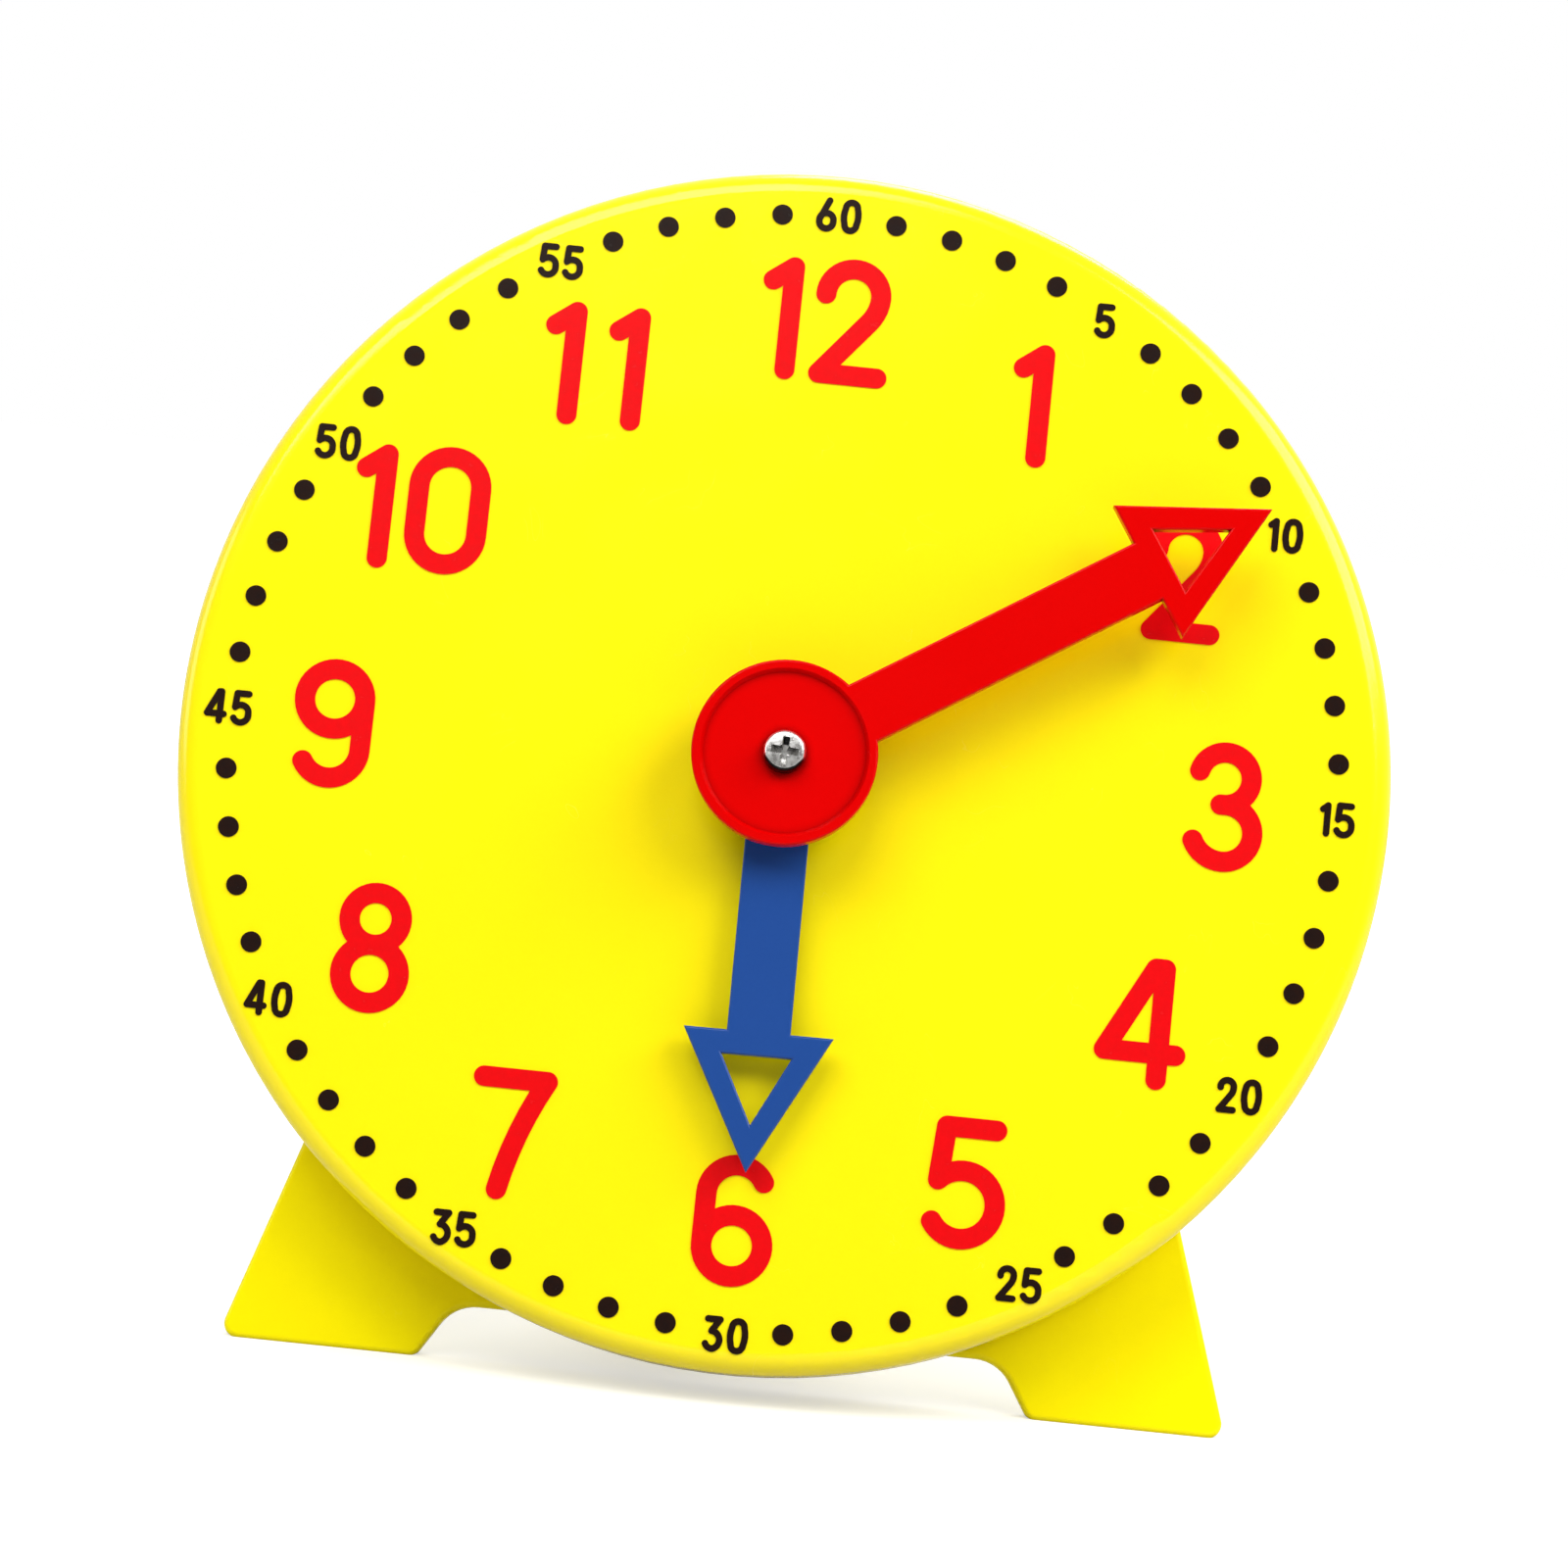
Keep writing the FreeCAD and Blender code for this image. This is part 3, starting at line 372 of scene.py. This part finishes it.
def make_materials():
    """Every finish of the clock, by the name of the record's material slot.

    Plastic: colours, roughness, specular level, peel depth, peel size, darkness of the painted shade in its
    corners.
    Ink: colours, roughness, specular level.
    Metal: colours, roughness, darkness of the painted shade in its crevices, the direction of the side with
    painted shade and dark reflection.
    """
    yellow = (YELLOW, YELLOW_DEEP)
    stand = (STAND_YELLOW, STAND_YELLOW_DEEP)
    red = (RED_PLASTIC, RED_PLASTIC_DEEP)
    finishes = {
        "yellow_dial": (moulded_plastic, yellow, 0.16, 0.4, 5e-6),
        "yellow_back": (moulded_plastic, yellow, 0.42, 0.5, 9e-6, BACK_PEEL_SIZE),
        "yellow_stand": (moulded_plastic, stand, 0.24, 0.12, 6e-6),
        # The red hand: painted shade in its corners, which deepens the ring inside the hub.
        "red_hand": (moulded_plastic, red, 0.18, 0.09, 4e-6, PEEL_SIZE, 0.8),
        "blue_hand": (moulded_plastic, (BLUE_PLASTIC, BLUE_PLASTIC_DEEP), 0.2, 0.2, 4e-6),
        "red_print": (printed_ink, (RED_INK, RED_INK_DEEP), 0.24, 0.18),
        "black_print": (printed_ink, (BLACK_INK, BLACK_INK_DEEP), 0.24, 0.2),
        # The nickel screw: painted shade in its recess, and painted shade and dark reflection on its
        # downward-facing side.
        "bright_nickel": (plated_metal, (NICKEL, NICKEL), 0.27, 0.15, -UP),
        # The back screws: painted shade in their recesses.
        "steel": (plated_metal, (ZINC, ZINC_WARM), 0.28, 0.8),
        "white_gear": (moulded_plastic, (ACETAL, ACETAL_DEEP), 0.38, 0.4, 3e-6),
        "white_nylon": (moulded_plastic, (NYLON, NYLON_DEEP), 0.45, 0.4, 3e-6),
    }
    return {slot: make(slot, *details) for slot, (make, *details) in finishes.items()}


def node_slots():
    """The material slot of every CAD node, from the record."""
    return {part["node"]: part["material_slot"] for part in frame["record"]["subparts"]}


# Screws


def screw_profile(head_radius, head_height):
    """The head's outline from its crown to its seat, as radius and height above the seat."""
    profile = []
    for index in range(1, HEAD_DOME_STEPS + 1):
        share = index / HEAD_DOME_STEPS
        drop = HEAD_DOME_SHARE * share**2
        profile.append((head_radius * HEAD_CROWN_SHARE * share, head_height * (1 - drop)))
    for index in range(1, HEAD_ROUNDING_STEPS + 1):
        turn = math.radians(90) * index / HEAD_ROUNDING_STEPS
        radius_share = HEAD_CROWN_SHARE + (1 - HEAD_CROWN_SHARE) * math.sin(turn)
        height_share = 1 - HEAD_DOME_SHARE - HEAD_ROUNDING_SHARE * (1 - math.cos(turn))
        profile.append((head_radius * radius_share, head_height * height_share))
    profile.append((head_radius, head_height * HEAD_FOOT_SHARE))
    profile.append((head_radius * (1 - HEAD_FOOT_SHARE), 0))
    return profile


def thread_radius(radius, pitch, along, angle):
    """The thread's radius at a height and an angle: sharp crests over a thinner core."""
    phase = (along / pitch + angle / (2 * math.pi)) % 1
    crest = max(0.0, 1 - abs(phase - 0.5) * THREAD_SHARPNESS)
    return radius * (THREAD_CORE_SHARE + THREAD_CREST_SHARE * crest)


def revolved_screw(name, head_radius, head_height, shank_radius, length, pitch):
    """A closed screw on the z axis: head above z = 0, threaded shank below."""
    made = bmesh.new()
    rings = []
    for radius, height in screw_profile(head_radius, head_height):
        rings.append([(radius, height)] * SCREW_SEGMENTS)
    rings.append([(shank_radius, 0)] * SCREW_SEGMENTS)
    tip_length = shank_radius * TIP_LENGTH_SHARE
    rows = int((length - tip_length) / pitch * THREAD_ROWS_PER_TURN)
    for row in range(1, rows + 1):
        along = (length - tip_length) * row / rows
        ring = []
        for column in range(SCREW_SEGMENTS):
            angle = 2 * math.pi * column / SCREW_SEGMENTS
            ring.append((thread_radius(shank_radius, pitch, along, angle), -along))
        rings.append(ring)
    rings.append([(shank_radius * TIP_RADIUS_SHARE, -length)] * SCREW_SEGMENTS)
    loops = []
    for ring in rings:
        loop = []
        for column, (radius, height) in enumerate(ring):
            angle = 2 * math.pi * column / SCREW_SEGMENTS
            loop.append(made.verts.new((radius * math.cos(angle), radius * math.sin(angle), height)))
        loops.append(loop)
    for upper, lower in zip(loops, loops[1:]):
        for column in range(SCREW_SEGMENTS):
            after = (column + 1) % SCREW_SEGMENTS
            made.faces.new((upper[column], lower[column], lower[after], upper[after]))
    made.faces.new(loops[0])
    made.faces.new(reversed(loops[-1]))
    bmesh.ops.recalc_face_normals(made, faces=made.faces)
    return new_mesh(name, made)


def tapered_bar(name, half_length, half_width, top, bottom, taper, turn):
    """One bar of the driver's cross, smaller at its bottom."""
    made = bmesh.new()
    bmesh.ops.create_cube(made, size=2)
    for vertex in made.verts:
        share = 1 if vertex.co.z > 0 else taper
        height = top if vertex.co.z > 0 else bottom
        vertex.co = Vector((vertex.co.x * half_length * share, vertex.co.y * half_width * share, height))
    bmesh.ops.rotate(made, verts=made.verts, matrix=Matrix.Rotation(turn, 3, "Z"))
    return new_mesh(name, made)


def driver_point(name, radius, top, bottom):
    """The cone in the middle of the driver's cross."""
    made = bmesh.new()
    bmesh.ops.create_cone(
        made,
        cap_ends=True,
        segments=RECESS_POINT_SEGMENTS,
        radius1=radius * RECESS_POINT_TIP_SHARE,
        radius2=radius,
        depth=top - bottom,
        matrix=Matrix.Translation((0, 0, (top + bottom) / 2)),
    )
    return new_mesh(name, made)


def cut_away(mesh, cutters):
    """The mesh with each cutter taken out of it, as a new mesh."""
    body = new_object("screw_blank", mesh)
    helpers = []
    for cutter in cutters:
        helper = new_object("cutter", cutter)
        modifier = body.modifiers.new("cut", "BOOLEAN")
        modifier.operation = "DIFFERENCE"
        modifier.solver = "EXACT"
        modifier.object = helper
        helpers.append(helper)
    bpy.context.view_layer.update()
    evaluated = body.evaluated_get(bpy.context.evaluated_depsgraph_get())
    result = bpy.data.meshes.new_from_object(evaluated)
    for helper in [body, *helpers]:
        bpy.data.objects.remove(helper)
    return result


def cross_screw(name, head_radius, head_height, shank_radius, length, pitch):
    """A pan-head screw with a tapered cross recess."""
    blank = revolved_screw(name, head_radius, head_height, shank_radius, length, pitch)
    top = head_height * RECESS_TOP_SHARE
    bottom = head_height * RECESS_FLOOR_SHARE
    reach = head_radius * RECESS_REACH_SHARE
    half_width = head_radius * RECESS_HALF_WIDTH_SHARE
    cutters = [
        tapered_bar(name, reach, half_width, top, bottom, RECESS_TAPER_SHARE, math.radians(turn))
        for turn in (0, 90)
    ]
    cutters.append(driver_point(name, head_radius * RECESS_POINT_SHARE, top, bottom))
    mesh = cut_away(blank, cutters)
    mesh.polygons.foreach_set("use_smooth", [True] * len(mesh.polygons))
    mesh.set_sharp_from_angle(angle=math.radians(SCREW_SHARP_EDGE_DEG))
    return mesh


def in_dial_frame(node):
    """A CAD node's points as right, up and outward from the dial's centre."""
    points = []
    for vertex in frame["nodes"][node].data.vertices:
        away = vertex.co - CENTRE
        points.append((away.dot(RIGHT), away.dot(UP), away.dot(OUTWARD)))
    return points


def screw_groups(points, reach):
    """The points of several screws, split by where they stand on the dial's plane."""
    groups = []
    for point in points:
        for group in groups:
            if math.dist(point[:2], group[0][:2]) < reach:
                group.append(point)
                break
        else:
            groups.append([point])
    return groups


def middle(values):
    """Halfway between the lowest and highest value."""
    return (min(values) + max(values)) / 2


def place_on_dial(right, up, outward):
    """A point given in the dial's frame."""
    return CENTRE + RIGHT * right + UP * up + OUTWARD * outward


def add_piece(name, mesh, slot, materials, body):
    """A new piece with its material, riding on a body."""
    piece = new_object(name, mesh)
    mesh.materials.clear()
    mesh.materials.append(materials[slot])
    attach(piece, body)
    return piece


def make_hand_screw(materials):
    """The bright screw in the hub, in place of the CAD one."""
    points = in_dial_frame("hand_screw")
    crown = max(point[2] for point in points)
    tip = min(point[2] for point in points)
    head_radius = max(math.hypot(point[0], point[1]) for point in points)
    length = crown - tip - HAND_SCREW_HEAD_HEIGHT
    mesh = cross_screw(
        "hub_screw",
        head_radius,
        HAND_SCREW_HEAD_HEIGHT,
        HAND_SCREW_SHANK_RADIUS,
        length,
        HAND_SCREW_THREAD_PITCH,
    )
    seat = place_on_dial(0, 0, crown - HAND_SCREW_HEAD_HEIGHT)
    turned = Matrix.Rotation(-math.radians(HAND_SCREW_TURN_DEG), 4, "Z")
    mesh.transform(from_columns(RIGHT, UP, OUTWARD, seat) @ turned)
    piece = add_piece("hub_screw", mesh, "bright_nickel", materials, "minute_set")
    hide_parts("hand_screw")


def make_case_screws(materials):
    """The six screws on the back, in place of the CAD ones."""
    groups = screw_groups(in_dial_frame("case_screws"), CASE_SCREW_REACH)
    whole = bmesh.new()
    for index, group in enumerate(groups):
        right = middle([point[0] for point in group])
        up = middle([point[1] for point in group])
        back = min(point[2] for point in group)
        front = max(point[2] for point in group)
        head_radius = max(point[0] - right for point in group)
        length = front - back - CASE_SCREW_HEAD_HEIGHT
        mesh = cross_screw(
            "case_screw",
            head_radius,
            CASE_SCREW_HEAD_HEIGHT,
            CASE_SCREW_SHANK_RADIUS,
            length,
            CASE_SCREW_THREAD_PITCH,
        )
        seat = place_on_dial(right, up, back + CASE_SCREW_HEAD_HEIGHT)
        turned = Matrix.Rotation(math.radians(CASE_SCREW_TURN_STEP_DEG * index), 4, "Z")
        mesh.transform(from_columns(-RIGHT, UP, -OUTWARD, seat) @ turned)
        whole.from_mesh(mesh)
    piece = add_piece("back_screws", new_mesh("back_screws", whole), "steel", materials, "case")
    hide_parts("case_screws")


# Studio


def make_camera():
    """The camera at the photograph's angle, aimed to put the dial's centre where it is there."""
    pitch = math.radians(CAMERA_PITCH_DEG)
    yaw = math.radians(CAMERA_YAW_DEG)
    roll = math.radians(CAMERA_ROLL_DEG)
    level_right = Vector((
        math.cos(yaw),
        -math.sin(pitch) * math.sin(yaw),
        math.cos(pitch) * math.sin(yaw),
    ))
    level_up = Vector((0, math.cos(pitch), math.sin(pitch)))
    back = Vector((
        -math.sin(yaw),
        -math.sin(pitch) * math.cos(yaw),
        math.cos(pitch) * math.cos(yaw),
    ))
    across = level_right * math.cos(roll) + level_up * math.sin(roll)
    upward = level_up * math.cos(roll) - level_right * math.sin(roll)
    to_world = Matrix((RIGHT, UP, OUTWARD)).transposed()
    place = CENTRE + to_world @ back * CAMERA_DISTANCE
    camera = new_object("camera", bpy.data.cameras.new("camera"))
    turn_left = math.atan((DIAL_CENTRE_PX[0] - PHOTO_PX / 2) / FOCAL_PX)
    tilt_down = math.atan((PHOTO_PX / 2 - DIAL_CENTRE_PX[1]) / FOCAL_PX)
    aim = Matrix.Rotation(turn_left, 4, "Y") @ Matrix.Rotation(-tilt_down, 4, "X")
    axes = (to_world @ across, to_world @ upward, to_world @ back)
    camera.matrix_world = from_columns(*axes, place) @ aim
    camera.data.sensor_width = SENSOR_WIDTH
    camera.data.lens = SENSOR_WIDTH * FOCAL_PX / PHOTO_PX
    camera.data.clip_start = CAMERA_CLIP_START
    bpy.context.scene.camera = camera


def seen_directly(tree, mirrored):
    """1 for camera and see-through rays, and this share for mirror rays."""
    path = add_node(tree, "ShaderNodeLightPath").outputs
    seen = math_node(tree, "MAXIMUM", path["Is Camera Ray"], path["Is Transmission Ray"])
    return math_node(tree, "MAXIMUM", seen, math_node(tree, "MULTIPLY", path["Is Glossy Ray"], mirrored))


def beside_the_room(tree):
    """1 towards the white backdrop all round and 0 towards the dim room that the dial faces."""
    direction = add_node(tree, "ShaderNodeTexCoord").outputs["Generated"]
    sockets = {0: direction, 1: ROOM_DIRECTION}
    ahead = add_node(tree, "ShaderNodeVectorMath", sockets, operation="DOT_PRODUCT").outputs["Value"]
    return spread(tree, ahead, ROOM_EDGE_COSINE, ROOM_CORE_COSINE, 1.0, 0.0)


def make_world():
    """A dim, slightly warm surround that the camera sees as plain white."""
    world = bpy.data.worlds.new("studio")
    bpy.context.scene.world = world
    world.use_nodes = True
    tree = world.node_tree
    tree.nodes.clear()
    dim = add_node(tree, "ShaderNodeBackground", {"Color": (*AMBIENT, 1), "Strength": WORLD_STRENGTH})
    white = add_node(tree, "ShaderNodeBackground", {"Color": (*WHITE, 1), "Strength": 1.0})
    seen = seen_directly(tree, beside_the_room(tree))
    mixed = add_node(tree, "ShaderNodeMixShader", {0: seen, 1: dim.outputs[0], 2: white.outputs[0]})
    add_node(tree, "ShaderNodeOutputWorld", {"Surface": mixed.outputs[0]})


def make_floor():
    """A pale floor that looks white and keeps the clock's shadow."""
    made = bmesh.new()
    bmesh.ops.create_grid(made, x_segments=1, y_segments=1, size=FLOOR_SIZE / 2)
    floor = new_object("floor", new_mesh("floor", made))
    material = bpy.data.materials.new("floor")
    material.use_nodes = True
    tree = material.node_tree
    tree.nodes.clear()
    matt = add_node(tree, "ShaderNodeBsdfDiffuse", {"Color": (*FLOOR_COLOUR, 1)})
    place = add_node(tree, "ShaderNodeTexCoord").outputs["Object"]
    away = add_node(tree, "ShaderNodeVectorMath", {0: place}, operation="LENGTH").outputs["Value"]
    glow = spread(tree, away, SHADOW_REACH, WHITE_REACH, FLOOR_GLOW, 1.0)
    glow = math_node(tree, "MULTIPLY", seen_directly(tree, FLOOR_MIRRORED), glow)
    lift = add_node(tree, "ShaderNodeEmission", {"Color": (*WHITE, 1), "Strength": glow})
    both = add_node(tree, "ShaderNodeAddShader", {0: matt.outputs[0], 1: lift.outputs[0]})
    add_node(tree, "ShaderNodeOutputMaterial", {"Surface": both.outputs[0]})
    floor.data.materials.append(material)


def soft_light(name, azimuth_deg, elevation_deg, width, height, power):
    """A soft lamp aimed at the clock; azimuth 0 is in front and 90 to the right."""
    azimuth = math.radians(azimuth_deg)
    elevation = math.radians(elevation_deg)
    away = Vector((
        math.sin(azimuth) * math.cos(elevation),
        -math.cos(azimuth) * math.cos(elevation),
        math.sin(elevation),
    ))
    lamp = bpy.data.lights.new(name, "AREA")
    lamp.shape = "RECTANGLE"
    lamp.size = width
    lamp.size_y = height
    lamp.energy = power
    made = new_object(name, lamp)
    made.rotation_mode = "QUATERNION"
    made.rotation_quaternion = away.to_track_quat("Z", "Y")
    made.location = CENTRE + away * LIGHT_DISTANCE


def make_lights():
    """Two strong lamps in front and above, a weak one low on the left, and one behind."""
    for lamp in LAMPS:
        soft_light(*lamp)


def dress_cad_nodes(materials):
    """Each CAD node gets the finish of its slot."""
    for name, slot in node_slots().items():
        for place in frame["nodes"][name].material_slots:
            place.material = materials[slot]


def main():
    """Dress the part, light it and set the camera."""
    make_camera()
    materials = make_materials()
    dress_cad_nodes(materials)
    make_hand_screw(materials)
    make_case_screws(materials)
    make_world()
    make_floor()
    make_lights()
    bpy.context.scene.view_settings.view_transform = "Standard"


main()
